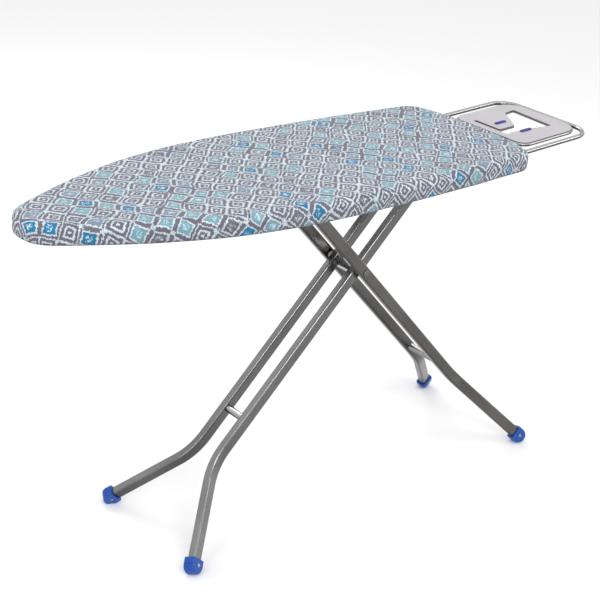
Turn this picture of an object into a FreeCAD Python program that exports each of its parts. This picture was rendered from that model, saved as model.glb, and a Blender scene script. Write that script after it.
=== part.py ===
import FreeCAD, Part
import math
import os

from FreeCAD import Placement, Rotation, Vector

# Folding ironing board, in millimetres. +X runs from the pointed nose to the iron rest, +Z is up.
# Lengths along X are first counted from the middle of the board, and the finished pieces are then
# shifted so that the origin is at floor level under the middle of the whole object.

# ---------------------------------------------------------------- overall sizes
board_length = 1250.0
board_width = 455.0
board_height = 840.0
board_thickness = 44.0

# ---------------------------------------------------------------- board top
cover_thickness = 1.5
cover_top_radius = 16.0
cover_bottom_radius = 8.0
hem_width = 26.0
foam_thickness = 8.0
deck_thickness = 0.8
layer_gap = 0.3
rim_inset = 5.0
rim_wall = 1.0
rim_lift = 0.5
rim_radius = 5.5
rim_flange = 20.0
brace_width = 30.0
brace_depth = 6.0
brace_wall = 1.0
front_brace_x = -330.0
rear_brace_x = 515.0
rim_joint_x = -255.0

# ---------------------------------------------------------------- legs
tube_width = 20.0
tube_depth = 28.0
tube_corner = 5.0
tube_wall = 1.2
leg_below = 755.0
leg_above = 293.0
pivot_x = 231.0
hinge_drop = 68.0
inner_tube_y = 35.7
leg_gap = 3.8
bend_radius = 150.0
inner_flare_below = 556.0
outer_flare_below = 516.0
inner_foot_y = 163.0
outer_foot_y = 174.0
crossbar_radius = 9.0
inner_crossbar_below = 432.0
outer_crossbar_below = 447.0
pivot_tube_height = 30.0
pivot_tube_inset = 1.0
tube_end_beyond_hinge = 16.0

# ---------------------------------------------------------------- pins and fits
running_clearance = 0.05
axle_radius = 5.0
axle_nut_flats = 13.0
axle_nut_height = 3.2
pivot_radius = 5.0
pivot_head_radius = 8.5
pivot_head_height = 3.0
pivot_head_edge = 2.4
pivot_tail_radius = 7.0
washer_radius = 12.0
washer_clearance = 0.2
rivet_radius = 3.0
rivet_head_radius = 4.5
rivet_head_height = 1.8

# ---------------------------------------------------------------- foot caps
foot_radius = 19.0
foot_width = 29.0
foot_shoulder = 14.0
foot_axis_height = 18.0
foot_edge_radius = 4.5
foot_groove_radius = 1.3
foot_groove_count = 4
foot_groove_pitch = 20.0
foot_groove_first = 5.0
foot_rivet_shank = 2.0
foot_rivet_head = 4.2
foot_rivet_height = 1.4

# ---------------------------------------------------------------- hinge bracket
bracket_half_length = 22.0
bracket_wall = 2.0
bracket_side_gap = 1.2
bracket_nose_radius = 12.0

# ---------------------------------------------------------------- sliding top bar and its guides
slide_offset = 24.0
slide_bar_radius = 4.5
glide_radius = 6.0
glide_length = 12.0
glide_gap = 1.5
ear_thickness = 3.0
ear_reach = 44.0
ear_wall = 5.0
ear_corner = 4.0
guide_side_gap = 1.5
guide_slot_clearance = 0.6
guide_wall = 2.0
guide_flange = 14.0
guide_end_room = 4.0
guide_end_wall = 3.0

# ---------------------------------------------------------------- height latch
latch_reach = 32.0
rod_radius = 4.0
rod_height_above_leg = 7.0
rod_edge_inset = 41.5
rod_end_room = 1.0
hanger_wall = 2.0
hanger_half_width = 12.0
hanger_below_rod = 7.0
hanger_side_gap = 2.7
hanger_outer_inset = 86.5
hanger_hub_gap = 8.0
rack_wall = 3.0
rack_height = 13.0
rack_clearance = 1.2
rack_notches = 4
rack_notch_pitch = 28.0
rack_hub_radius = 8.0
rack_hub_length = 18.0
paddle_length = 66.0
paddle_width = 36.0
paddle_height = 9.0
paddle_edge_radius = 3.6
spring_wire_radius = 0.7
spring_coil_radius = 5.8
spring_turns = 5
spring_pitch = 2.0

# ---------------------------------------------------------------- iron rest
rest_reach = 255.0
rest_half_width = 145.0
rest_tube_radius = 5.5
rest_corner_radius = 52.0
rest_end_drop = 27.0
rest_slope = 3.0
rest_inside = 65.0
rest_hole_clearance = 0.6
loop_tube_radius = 4.0
loop_half_width = 115.0
loop_start = 38.0
loop_end_corner = 46.0
loop_start_corner = 26.0
rest_bar_inside = 26.0
rest_arm_radius = 3.2
rest_arm_y = 75.0
plate_thickness = 1.6
plate_flange_depth = 5.0
plate_cut_end = 208.0
plate_cut_half = 65.0
plate_cut_apex = 132.0
plate_slot_start = 59.0
plate_slot_end = 69.0
plate_slot_far_y = 68.0
far_tongue_y = -12.0
near_tongue_y = -42.0
plate_corner = 5.0
slot_corner = 4.5
plate_cut_step = 36.0
plate_cut_skew = 4.0
plate_end_skew = 8.0
far_tongue_taper = 10.0
near_tongue_taper = 5.0
near_tongue_step = 8.0
far_strip_place = (106.0, 21.0)
near_strip_place = (118.0, -52.0)
strip_length = 38.0
strip_width = 10.0
strip_height = 2.0
weld_length = 18.0
weld_radius = 3.3
weld_edge_radius = 2.0
clamp_width = 22.0
clamp_half_span = 17.0
clamp_wall = 2.5
clamp_inset = 4.0
screw_edge_gap = 1.0
screw_head_radius = 4.0
screw_head_height = 2.0

# ---------------------------------------------------------------- worked-out places
hem_bottom = board_height - board_thickness
deck_top = board_height - cover_thickness - foam_thickness
deck_bottom = deck_top - deck_thickness
rim_bottom = hem_bottom + cover_thickness + rim_lift
hinge_z = board_height - hinge_drop
leg_angle = math.asin((hinge_z - foot_axis_height) / (leg_below + leg_above))
pivot_z = foot_axis_height + leg_below * math.sin(leg_angle)
hinge_x = pivot_x + leg_above * math.cos(leg_angle)
inner_tube_face = inner_tube_y - tube_width / 2
outer_tube_y = inner_tube_y + tube_width + leg_gap
ear_inner_y = outer_tube_y + tube_width / 2
ear_outer_y = ear_inner_y + ear_thickness
slide_bar_half_length = ear_outer_y + glide_gap + glide_length
# The sliding bar stands off the outer legs, and is this much further from the pivot than the hinge
# is, so that it keeps the same height with the legs open and folded.
slide_extra = slide_offset * math.tan(leg_angle / 2)
slide_reach = leg_above + slide_extra
slide_height = hinge_z + slide_offset
slide_rise = math.hypot(slide_extra, slide_offset) - slide_offset
open_slide_x = (pivot_x - slide_reach * math.cos(leg_angle)
                + slide_offset * math.sin(leg_angle))
folded_slide_x = hinge_x - leg_above - slide_reach
rod_x = open_slide_x + latch_reach
rod_z = hinge_z + tube_depth / 2 + rod_height_above_leg
rod_near_end = rod_edge_inset - board_width / 2
near_hanger_y = hanger_side_gap - inner_tube_face
far_hanger_y = rack_hub_length / 2 + hanger_hub_gap
hanger_places = (hanger_outer_inset - board_width / 2, near_hanger_y, far_hanger_y)
rod_far_end = far_hanger_y + hanger_wall + rod_end_room
tail_x = board_length / 2
rest_end_x = tail_x + rest_reach
origin_shift = -(rest_end_x + rest_tube_radius - board_length / 2) / 2

UP = Vector(0, 0, 1)
ALONG_X = Vector(1, 0, 0)
ALONG_Y = Vector(0, 1, 0)
SIDES = (("left", 1), ("right", -1))


# ---------------------------------------------------------------- general helpers
def save(name, shape):
    """Writes one node. Its shape is moved from the board's middle to the object's own origin."""
    shape = shape.copy()
    shape.translate(Vector(origin_shift, 0, 0))
    shape.exportStep("parts/" + name + ".step")


def box(low, high):
    size = [b - a for a, b in zip(low, high)]
    return Part.makeBox(*size, Vector(*low))


def rod_along(radius, start, end):
    start, end = Vector(*start), Vector(*end)
    return Part.makeCylinder(radius, (end - start).Length, start, end - start)


def mirrored_span(y_from, y_to, side):
    """The lower and upper Y of a span given for the left side, on the side asked for."""
    return sorted((side * y_from, side * y_to))


def side_pin(radius, x, z, y_from, y_to, side=1):
    low, high = mirrored_span(y_from, y_to, side)
    return rod_along(radius, (x, low, z), (x, high, z))


def group(shapes):
    return Part.makeCompound(shapes)


def rounded_rectangle(low, high, radii):
    """A flat outline in X and Y. Its corner radii are at the low-X end and at the high-X end."""
    (x0, y0), (x1, y1) = low, high
    r0, r1 = radii
    corners = ((x0, y0, r0, 180), (x1, y0, r1, 270), (x1, y1, r1, 0), (x0, y1, r0, 90))
    edges = []
    ends = []
    for x, y, r, start in corners:
        cx = x + r if x == x0 else x - r
        cy = y + r if y == y0 else y - r
        points = [Vector(cx + r * math.cos(math.radians(a)), cy + r * math.sin(math.radians(a)), 0)
                  for a in (start, start + 45, start + 90)]
        edges.append(Part.Arc(*points).toShape())
        ends.append((points[0], points[2]))
    for i in range(4):
        start, end = ends[i][1], ends[(i + 1) % 4][0]
        if start.distanceToPoint(end) > 1e-6:
            edges.append(Part.makeLine(start, end))
    return Part.Wire(Part.__sortEdges__(edges))


def rounded_polygon(corners):
    """A flat outline from (x, y, radius) corners; a radius of 0 leaves the corner sharp."""
    count = len(corners)
    edges = []
    stops = []
    for i, (x, y, radius) in enumerate(corners):
        here = Vector(x, y, 0)
        before = Vector(*corners[i - 1][:2], 0) - here
        after = Vector(*corners[(i + 1) % count][:2], 0) - here
        before.normalize()
        after.normalize()
        if radius == 0:
            stops.append((here, here))
            continue
        half = before.getAngle(after) / 2
        middle = (before + after).normalize()
        centre = here + middle * (radius / math.sin(half))
        start = here + before * (radius / math.tan(half))
        end = here + after * (radius / math.tan(half))
        edges.append(Part.Arc(start, centre - middle * radius, end).toShape())
        stops.append((start, end))
    for i in range(count):
        edges.append(Part.makeLine(stops[i][1], stops[(i + 1) % count][0]))
    return Part.Wire(Part.__sortEdges__(edges))


# ---------------------------------------------------------------- board outline
def half_outline(inset, side):
    """One side of the board's outline, from nose to tail, brought in by an inset."""
    length = board_length - 2 * inset
    half_width = board_width / 2 - inset
    # Each point is a share of the length from the nose, and a share of the half width.
    shares = ((0, 0), (0, 0.2), (0.042, 0.33), (0.142, 0.6), (0.292, 0.9), (0.475, 1.012),
              (0.667, 0.994), (0.833, 0.965), (0.936, 0.905), (1, 0.91), (1, 0))
    poles = [Vector(length * (u - 0.5), side * half_width * w, 0) for u, w in shares]
    spans = len(poles) - 3
    curve = Part.BSplineCurve()
    curve.buildFromPolesMultsKnots(poles, [4] + [1] * (spans - 1) + [4], list(range(spans + 1)),
                                   False, 3)
    return curve.toShape()


def slab(inset, z_low, z_high):
    wire = Part.Wire(Part.__sortEdges__([half_outline(inset, 1), half_outline(inset, -1)]))
    face = Part.Face(wire)
    face.translate(Vector(0, 0, z_low))
    return face.extrude(Vector(0, 0, z_high - z_low))


def rim_edges(solid, z):
    return [e for e in solid.Edges
            if abs(e.BoundBox.ZMin - z) < 1e-4 and abs(e.BoundBox.ZMax - z) < 1e-4]


def rounded_slab(inset, z_low, z_high, low_radius, high_radius):
    solid = slab(inset, z_low, z_high)
    if high_radius:
        solid = solid.makeFillet(high_radius, rim_edges(solid, z_high))
    if low_radius:
        solid = solid.makeFillet(low_radius, rim_edges(solid, z_low))
    return solid


def fabric_cover():
    """A sewn cover: top, bullnose side and a hem that turns in under the rim."""
    t = cover_thickness
    outer = rounded_slab(0, hem_bottom, board_height, cover_bottom_radius, cover_top_radius)
    inner = rounded_slab(t, hem_bottom + t, board_height - t, cover_bottom_radius - t,
                         cover_top_radius - t)
    opening = slab(hem_width, hem_bottom - 1, hem_bottom + 2 * t)
    return outer.cut(inner).cut(opening).cut(rest_side_holes(rest_hole_clearance * 2))


def foam_pad():
    """The foam fills the cover's top above the deck, with the same rounded edge."""
    inset = cover_thickness + layer_gap
    top = board_height - inset
    solid = rounded_slab(inset, hem_bottom, top, 0, cover_top_radius - inset)
    reach = board_length + board_width
    return solid.cut(box((-reach, -reach, hem_bottom - 1), (reach, reach, deck_top)))


def deck_panel():
    return slab(rim_inset, deck_bottom, deck_top)


def rim_piece(side, x_low, x_high):
    """One of the four pieces of the L-section rim under the deck, with holes for the rest's bars.

    They meet at the nose, at the tail and at the joint on each side."""
    outer = rounded_slab(rim_inset, rim_bottom, deck_bottom, rim_radius, 0)
    inner = rounded_slab(rim_inset + rim_wall, rim_bottom + rim_wall, deck_bottom + 1,
                         rim_radius - rim_wall, 0)
    opening = slab(rim_inset + rim_flange, rim_bottom - 1, rim_bottom + 2 * rim_wall)
    rim = outer.cut(inner).cut(opening).cut(rest_side_holes(rest_hole_clearance))
    low, high = mirrored_span(0, board_width, side)
    return rim.common(box((x_low, low, rim_bottom), (x_high, high, deck_bottom)))


def cross_brace(x):
    """A pressed channel across the board, under the deck and between the rim's walls."""
    half = brace_width / 2
    reach = board_width
    channel = box((x - half, -reach, deck_bottom - brace_depth), (x + half, reach, deck_bottom))
    hollow = box((x - half + brace_wall, -reach, deck_bottom - brace_depth - 1),
                 (x + half - brace_wall, reach, deck_bottom - brace_wall))
    room = slab(rim_inset + rim_wall + layer_gap, rim_bottom, deck_bottom)
    return channel.cut(hollow).common(room)


# ---------------------------------------------------------------- leg tubes
def section(width, depth, corner, y, z):
    """A tube's rounded rectangular section, across the leg's own Z axis."""
    wire = rounded_rectangle((-depth / 2, y - width / 2), (depth / 2, y + width / 2),
                             (corner, corner))
    face = Part.Face(wire)
    face.translate(Vector(0, 0, z))
    return face


def flare(tube_y, flare_below, foot_y):
    """How far a leg turns outwards, where that bend starts, and the straight run below it."""
    turn = math.atan((foot_y - tube_y) / (leg_below - flare_below))
    tangent = bend_radius * math.tan(turn / 2)
    run = (leg_below - flare_below) / math.cos(turn) - tangent
    return turn, -flare_below + tangent, run


def bent_bar(tube_y, flare_below, foot_y, top, side, wall):
    """A leg as one solid bar, thinner by the wall all round, in the leg's own frame."""
    turn, bend_start, run = flare(tube_y, flare_below, foot_y)
    y = side * tube_y
    face = section(tube_width - 2 * wall, tube_depth - 2 * wall, tube_corner - wall, y, bend_start)
    upper = face.extrude(Vector(0, 0, top - bend_start))
    centre = Vector(0, y + side * bend_radius, bend_start)
    axis = Vector(side, 0, 0)
    arc = face.revolve(centre, axis, math.degrees(turn))
    end_face = face.copy()
    end_face.rotate(centre, axis, math.degrees(turn))
    down = Vector(0, side * math.sin(turn), -math.cos(turn))
    lower = end_face.extrude(down * run)
    return upper.fuse([arc, lower]).removeSplitter()


def leg_placement(lean):
    """Puts a leg's own frame, with Z up the leg, at the pivot. Lean is 1 for up and to the tail."""
    turn = lean * (90 - math.degrees(leg_angle))
    return Placement(Vector(pivot_x, 0, pivot_z), Rotation(ALONG_Y, turn))


def place(shape, lean):
    shape = shape.copy()
    shape.Placement = leg_placement(lean).multiply(shape.Placement)
    return shape


def foot_places(lean):
    """The four foot caps' centres: X for this pair of legs, and the height of the cap's axis."""
    return pivot_x - lean * leg_below * math.cos(leg_angle), foot_axis_height


LEGS = {
    "inner": {"y": inner_tube_y, "flare": inner_flare_below, "foot": inner_foot_y, "lean": 1,
              "top": leg_above + tube_end_beyond_hinge, "hole": pivot_radius + running_clearance},
    "outer": {"y": outer_tube_y, "flare": outer_flare_below, "foot": outer_foot_y, "lean": -1,
              "top": slide_reach + rivet_radius, "hole": pivot_radius},
}


def leg_tube(name, side):
    leg = LEGS[name]
    bars = [bent_bar(leg["y"], leg["flare"], leg["foot"], leg["top"], side, wall)
            for wall in (0, tube_wall)]
    tube = place(bars[0].cut(bars[1]), leg["lean"])
    reach = outer_tube_y + tube_width
    tube = tube.cut(side_pin(leg["hole"], pivot_x, pivot_z, -reach, reach))
    tube = tube.cut(foot_rivet(name, side))
    if name == "inner":
        tube = tube.cut(side_pin(axle_radius, hinge_x, hinge_z, -reach, reach))
    return tube


def at_foot(shape, name, side):
    """Moves a shape from a tube's lower end, with Z up the tube, to its place on the leg."""
    leg = LEGS[name]
    turn = flare(leg["y"], leg["flare"], leg["foot"])[0]
    shape = shape.copy()
    shape.rotate(Vector(0, 0, 0), ALONG_X, math.degrees(turn) * side)
    shape.translate(Vector(0, side * leg["foot"], -leg_below))
    return place(shape, leg["lean"])


def foot_rivet(name, side):
    """A rivet through the cap and the tube's end, with a head on each side."""
    half = foot_width / 2
    shank = rod_along(foot_rivet_shank, (0, -half, 0), (0, half, 0))
    heads = []
    for end in (-1, 1):
        head = rod_along(foot_rivet_head, (0, end * half, 0), (0, end * (half + foot_rivet_height), 0))
        rim = [e for e in head.Edges if len(e.Vertexes) == 1
               and abs(e.BoundBox.Center.y) > half + foot_rivet_height / 2]
        heads.append(head.makeFillet(foot_rivet_height * 0.7, rim))
    return at_foot(shank.fuse(heads).removeSplitter(), name, side)


def foot_cap(name, side):
    """A plastic cap on a tube's end: round below, square across the top, with a flat sole.

    Grooves run across its round front."""
    r = foot_radius
    outline = Part.Wire([
        Part.Arc(Vector(-r, 0, 0), Vector(0, 0, -r), Vector(r, 0, 0)).toShape(),
        Part.makeLine(Vector(r, 0, 0), Vector(r, 0, foot_shoulder)),
        Part.makeLine(Vector(r, 0, foot_shoulder), Vector(-r, 0, foot_shoulder)),
        Part.makeLine(Vector(-r, 0, foot_shoulder), Vector(-r, 0, 0))])
    body = Part.Face(outline).extrude(ALONG_Y * foot_width)
    body.translate(ALONG_Y * (-foot_width / 2))
    edges = [e for e in body.Edges
             if e.BoundBox.YLength < 1e-3 and e.BoundBox.ZMin < foot_shoulder - 1e-3]
    body = body.makeFillet(foot_edge_radius, edges)
    leg = LEGS[name]
    for i in range(foot_groove_count):
        angle = math.radians(foot_groove_first + i * foot_groove_pitch)
        x, z = -leg["lean"] * r * math.cos(angle), -r * math.sin(angle)
        body = body.cut(rod_along(foot_groove_radius, (x, -foot_width, z), (x, foot_width, z)))
    bar = place(bent_bar(leg["y"], leg["flare"], leg["foot"], leg["top"], side, 0), leg["lean"])
    x, z = foot_places(leg["lean"])
    reach = 4 * foot_radius
    y = side * leg["foot"]
    floor = box((x - reach, y - reach, -reach), (x + reach, y + reach, 0))
    return at_foot(body, name, side).cut(bar).cut(floor).cut(foot_rivet(name, side))


def crossbar(name, below):
    """A round bar between the two tubes of a pair."""
    leg = LEGS[name]
    reach = leg["y"] - tube_width / 2
    return place(rod_along(crossbar_radius, (0, -reach, -below), (0, reach, -below)), leg["lean"])


def pivot_cross_tube():
    """A short rectangular tube between the inner legs at the pivot. The rivets' tails end in it."""
    reach = inner_tube_face
    half_depth = tube_depth / 2 - pivot_tube_inset
    half_height = pivot_tube_height / 2
    outer = box((-half_depth, -reach, -half_height), (half_depth, reach, half_height))
    inner = box((tube_wall - half_depth, -reach, tube_wall - half_height),
                (half_depth - tube_wall, reach, half_height - tube_wall))
    return place(outer.cut(inner), 1)


# ---------------------------------------------------------------- hinge at the board
def hinge_axle():
    reach = inner_tube_y + tube_width / 2 + axle_nut_height / 2
    return side_pin(axle_radius, hinge_x, hinge_z, -reach, reach)


def hinge_nuts():
    """A thin hexagonal nut on each end of the hinge axle."""
    start = inner_tube_y + tube_width / 2
    radius = axle_nut_flats / math.sqrt(3)
    corners = [Vector(hinge_x + radius * math.cos(math.radians(60 * i)), start,
                      hinge_z + radius * math.sin(math.radians(60 * i))) for i in range(7)]
    nut = Part.Face(Part.makePolygon(corners)).extrude(Vector(0, axle_nut_height, 0))
    nut = nut.cut(hinge_axle())
    return group([nut, nut.mirror(Vector(0, 0, 0), ALONG_Y)])


def leg_hinge_bracket():
    """An inverted channel under the deck, between the inner legs, with holes for the axle."""
    half = inner_tube_face - bracket_side_gap
    low = hinge_z - bracket_nose_radius
    x0, x1 = hinge_x - bracket_half_length, hinge_x + bracket_half_length
    nose = side_pin(bracket_nose_radius, hinge_x, hinge_z, -half, half)
    neck = box((hinge_x - bracket_nose_radius, -half, hinge_z),
               (hinge_x + bracket_nose_radius, half, hinge_z + bracket_nose_radius))
    shoulder = box((x0, -half, hinge_z + bracket_nose_radius), (x1, half, deck_bottom))
    solid = shoulder.fuse([neck, nose]).removeSplitter()
    hollow = box((x0 - 1, bracket_wall - half, low - 1),
                 (x1 + 1, half - bracket_wall, deck_bottom - bracket_wall))
    hole = side_pin(axle_radius + running_clearance, hinge_x, hinge_z, -half - 1, half + 1)
    return solid.cut(hollow).cut(hole)


def bracket_rivets():
    """Four rivet heads that hold the hinge bracket's web to the deck."""
    z = deck_bottom - bracket_wall
    reach = bracket_half_length - 2 * rivet_radius
    across = inner_tube_face - bracket_side_gap - bracket_wall - 2 * rivet_radius
    return group([rod_along(rivet_head_radius, (hinge_x + i * reach, j * across, z),
                            (hinge_x + i * reach, j * across, z - rivet_head_height))
                  for i in (-1, 1) for j in (-1, 1)])


# ---------------------------------------------------------------- scissor pivot
def pivot_rivet(side):
    """A domed rivet from the outer leg's face to a tail inside the pivot cross tube."""
    outer_face = ear_inner_y
    tail_start = inner_tube_face - 2 * rivet_head_height
    shank = side_pin(pivot_radius, pivot_x, pivot_z, tail_start, outer_face, side)
    head = side_pin(pivot_head_radius, pivot_x, pivot_z, outer_face,
                    outer_face + pivot_head_height, side)
    rim = [e for e in head.Edges if abs(abs(e.BoundBox.Center.y) - outer_face
                                        - pivot_head_height) < 1e-4 and len(e.Vertexes) == 1]
    head = head.makeFillet(pivot_head_edge, rim)
    tail = side_pin(pivot_tail_radius, pivot_x, pivot_z, tail_start,
                    inner_tube_face - washer_clearance, side)
    return shank.fuse([head, tail]).removeSplitter()


def pivot_washers():
    """Plastic washers that keep the inner and outer legs apart at the pivot."""
    start = inner_tube_y + tube_width / 2 + washer_clearance
    end = outer_tube_y - tube_width / 2
    rings = [side_pin(washer_radius, pivot_x, pivot_z, start, end, side) for _, side in SIDES]
    reach = outer_tube_y
    hole = side_pin(pivot_radius, pivot_x, pivot_z, -reach, reach)
    return group([ring.cut(hole) for ring in rings])


# ---------------------------------------------------------------- sliding top bar
def slide_ear(side):
    """A plate on the outside of an outer leg's top, which carries the sliding bar above it."""
    half = tube_depth / 2 - tube_corner
    bar_round = slide_bar_radius + ear_wall
    low_end = slide_reach - ear_reach
    corners = ((-half, low_end, ear_corner), (half, low_end, ear_corner),
               (slide_offset + bar_round, slide_reach - bar_round, bar_round * 0.9),
               (slide_offset + bar_round, slide_reach + bar_round, bar_round * 0.9),
               (-half, slide_reach + rivet_radius, ear_corner))
    plate = Part.Face(rounded_polygon(corners)).extrude(UP * ear_thickness)
    plate.rotate(Vector(0, 0, 0), ALONG_X, 90)
    low = mirrored_span(ear_inner_y, ear_outer_y, side)[0]
    plate.translate(Vector(0, low + ear_thickness, 0))
    plate = place(plate, -1)
    return plate.cut(slide_bar())


def ear_rivets():
    """Two rivet heads on each ear."""
    heads = []
    for _, side in SIDES:
        for step in (0.25, 0.75):
            low, high = mirrored_span(ear_outer_y, ear_outer_y + rivet_head_height, side)
            z = slide_reach - ear_reach * step
            heads.append(place(rod_along(rivet_head_radius, (0, low, z), (0, high, z)), -1))
    return group(heads)


def slide_bar():
    reach = slide_bar_half_length
    return place(rod_along(slide_bar_radius, (slide_offset, -reach, slide_reach),
                           (slide_offset, reach, slide_reach)), -1)


def slide_glide(side):
    """A plastic sleeve on each end of the sliding bar."""
    low, high = mirrored_span(slide_bar_half_length - glide_length, slide_bar_half_length, side)
    sleeve = rod_along(glide_radius, (slide_offset, low, slide_reach),
                       (slide_offset, high, slide_reach))
    return place(sleeve, -1).cut(slide_bar())


def guide_ends():
    room = glide_radius + guide_end_room
    return folded_slide_x - room, open_slide_x + room


def guide_slot():
    """The lowest and highest Z of the slot that the glide runs in."""
    return (slide_height - glide_radius - guide_slot_clearance,
            slide_height + slide_rise + glide_radius + guide_slot_clearance)


def guide_inner_y():
    return slide_bar_half_length - glide_length + guide_side_gap / 2


def slide_guide(side):
    """A folded channel under the deck, open towards the legs, that holds one end of the bar."""
    x0, x1 = guide_ends()
    low, high = guide_slot()
    inner = guide_inner_y()
    outer = slide_bar_half_length + guide_side_gap
    w = guide_wall
    profile = ((inner, low - w), (outer + w, low - w), (outer + w, deck_bottom - w),
               (outer + guide_flange, deck_bottom - w), (outer + guide_flange, deck_bottom),
               (outer, deck_bottom), (outer, high + w), (inner, high + w), (inner, high),
               (outer, high), (outer, low), (inner, low), (inner, low - w))
    points = [Vector(x0, side * y, z) for y, z in profile]
    return Part.Face(Part.makePolygon(points)).extrude(Vector(x1 - x0, 0, 0))


def guide_end_caps():
    """A plastic stop in each end of both guides."""
    x0, x1 = guide_ends()
    low, high = guide_slot()
    blocks = []
    for _, side in SIDES:
        y0, y1 = mirrored_span(guide_inner_y(), slide_bar_half_length + guide_side_gap, side)
        blocks.append(box((x0, y0, low), (x0 + guide_end_wall, y1, high)))
        blocks.append(box((x1 - guide_end_wall, y0, low), (x1, y1, high)))
    return group(blocks)


# ---------------------------------------------------------------- height latch
def latch_rod():
    return rod_along(rod_radius, (rod_x, rod_near_end, rod_z), (rod_x, rod_far_end, rod_z))


def rod_hanger(y):
    """A plate under the deck with a running hole for the latch rod."""
    low = rod_z - hanger_below_rod
    plate = box((rod_x - hanger_half_width, y, low),
                (rod_x + hanger_half_width, y + hanger_wall, deck_bottom))
    edges = [e for e in plate.Edges
             if abs(e.BoundBox.ZMax - low) < 1e-4 and e.BoundBox.YLength > hanger_wall / 2]
    plate = plate.makeFillet(hanger_below_rod * 0.8, edges)
    return plate.cut(rod_along(rod_radius + running_clearance, (rod_x, y - 1, rod_z),
                               (rod_x, y + hanger_wall + 1, rod_z)))


def latch_rack():
    """A plate under the sliding bar's path, with a notch for each height, on a hub on the rod.

    Its crests stop just below the bar."""
    top = slide_height - slide_bar_radius - rack_clearance
    low = top - rack_height
    front = open_slide_x - (rack_notches - 0.5) * rack_notch_pitch
    corners = ((front, low + rack_height * 0.4, 3), (front + rack_notch_pitch, low, 8),
               (rod_x, low, 5), (rod_x + rack_hub_radius * 0.6, rod_z, 2), (rod_x, rod_z + 4, 2),
               (open_slide_x + 2 * slide_bar_radius, top, 3), (front, top, 3))
    plate = Part.Face(rounded_polygon(corners)).extrude(UP * rack_wall)
    plate.rotate(Vector(0, 0, 0), ALONG_X, 90)
    plate.translate(Vector(0, rack_wall / 2, 0))
    half_hub = rack_hub_length / 2
    hub = rod_along(rack_hub_radius, (rod_x, -half_hub / 2, rod_z), (rod_x, half_hub, rod_z))
    solid = plate.fuse(hub).removeSplitter()
    for i in range(rack_notches):
        x = open_slide_x - i * rack_notch_pitch
        notch_radius = slide_bar_radius + rack_clearance
        solid = solid.cut(rod_along(notch_radius, (x, -rack_wall, slide_height),
                                    (x, rack_wall, slide_height)))
    return solid.cut(latch_rod())


def latch_paddle():
    """A plastic hand lever on the rod's outer end, under the board's edge."""
    y0 = rod_near_end
    grip = box((rod_x, y0, rod_z - paddle_height / 2),
               (rod_x + paddle_length, y0 + paddle_width, rod_z + paddle_height / 2))
    grip = grip.makeFillet(paddle_edge_radius, [e for e in grip.Edges
                                                if e.BoundBox.XMax > rod_x + 1])
    hub = rod_along(rack_hub_radius, (rod_x, y0, rod_z), (rod_x, y0 + paddle_width, rod_z))
    return grip.fuse(hub).removeSplitter().cut(latch_rod())


def latch_spring():
    """A torsion spring round the rod, with one leg up to the deck and one on the rack."""
    length = spring_turns * spring_pitch
    start = -rack_hub_length / 4 - spring_wire_radius - 1 - length
    path = Part.makeHelix(spring_pitch, length, spring_coil_radius)
    section_edge = Part.makeCircle(spring_wire_radius, Vector(spring_coil_radius, 0, 0), ALONG_Y)
    coil = Part.Wire(path).makePipeShell([Part.Wire(section_edge)], True, True)
    coil.rotate(Vector(0, 0, 0), ALONG_X, -90)
    coil.translate(Vector(rod_x, start, rod_z))
    leg_x = rod_x + spring_coil_radius
    up_leg = rod_along(spring_wire_radius, (leg_x, start, rod_z),
                       (leg_x, start, deck_bottom - 1.5))
    down_leg = rod_along(spring_wire_radius, (leg_x, start + length, rod_z),
                         (leg_x, start + length, rod_z - rack_height))
    return coil.fuse([up_leg, down_leg])


# ---------------------------------------------------------------- iron rest
rest_placement = Placement(Vector(tail_x, 0, board_height - rest_end_drop),
                           Rotation(ALONG_Y, -rest_slope))


def on_rest(shape):
    """Moves a shape from the rest's own plane, X counted from the board's tail, to its place."""
    shape = shape.copy()
    shape.Placement = rest_placement.multiply(shape.Placement)
    return shape


def swept_tube(path, radius, start, direction):
    circle = Part.Wire(Part.makeCircle(radius, Vector(*start), Vector(*direction)))
    return path.makePipeShell([circle], True, False)


def rest_side_holes(clearance):
    """The space that the outer loop's sides and the support's arms take through the rim."""
    bars = []
    for _, side in SIDES:
        for radius, y in ((rest_tube_radius, rest_half_width), (rest_arm_radius, rest_arm_y)):
            bars.append(on_rest(rod_along(radius + clearance, (-rest_inside, side * y, 0),
                                          (loop_start, side * y, 0))))
    return group(bars)


def rest_outer_loop():
    """A round tube bent to a U, whose two ends run in under the board."""
    w, r, end = rest_half_width, rest_corner_radius, rest_reach
    mid = r * (1 - math.sqrt(0.5))
    edges = [Part.makeLine(Vector(-rest_inside, w, 0), Vector(end - r, w, 0)),
             Part.Arc(Vector(end - r, w, 0), Vector(end - mid, w - mid, 0),
                      Vector(end, w - r, 0)).toShape(),
             Part.makeLine(Vector(end, w - r, 0), Vector(end, r - w, 0)),
             Part.Arc(Vector(end, r - w, 0), Vector(end - mid, mid - w, 0),
                      Vector(end - r, -w, 0)).toShape(),
             Part.makeLine(Vector(end - r, -w, 0), Vector(-rest_inside, -w, 0))]
    return on_rest(swept_tube(Part.Wire(edges), rest_tube_radius, (-rest_inside, w, 0), (1, 0, 0)))


def loop_end():
    return rest_reach - rest_tube_radius - loop_tube_radius - layer_gap


def rest_inner_loop():
    """A closed loop of thinner tube that carries the plate's edge."""
    w, r0, r1 = loop_half_width, loop_start_corner, loop_end_corner
    path = rounded_rectangle((loop_start, -w), (loop_end(), w), (r0, r1))
    tubes = []
    for edge in path.Edges:
        point = edge.valueAt(edge.FirstParameter)
        direction = edge.tangentAt(edge.FirstParameter)
        tubes.append(swept_tube(Part.Wire(edge), loop_tube_radius, point, direction))
    return on_rest(tubes[0].fuse(tubes[1:]).removeSplitter())


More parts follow.
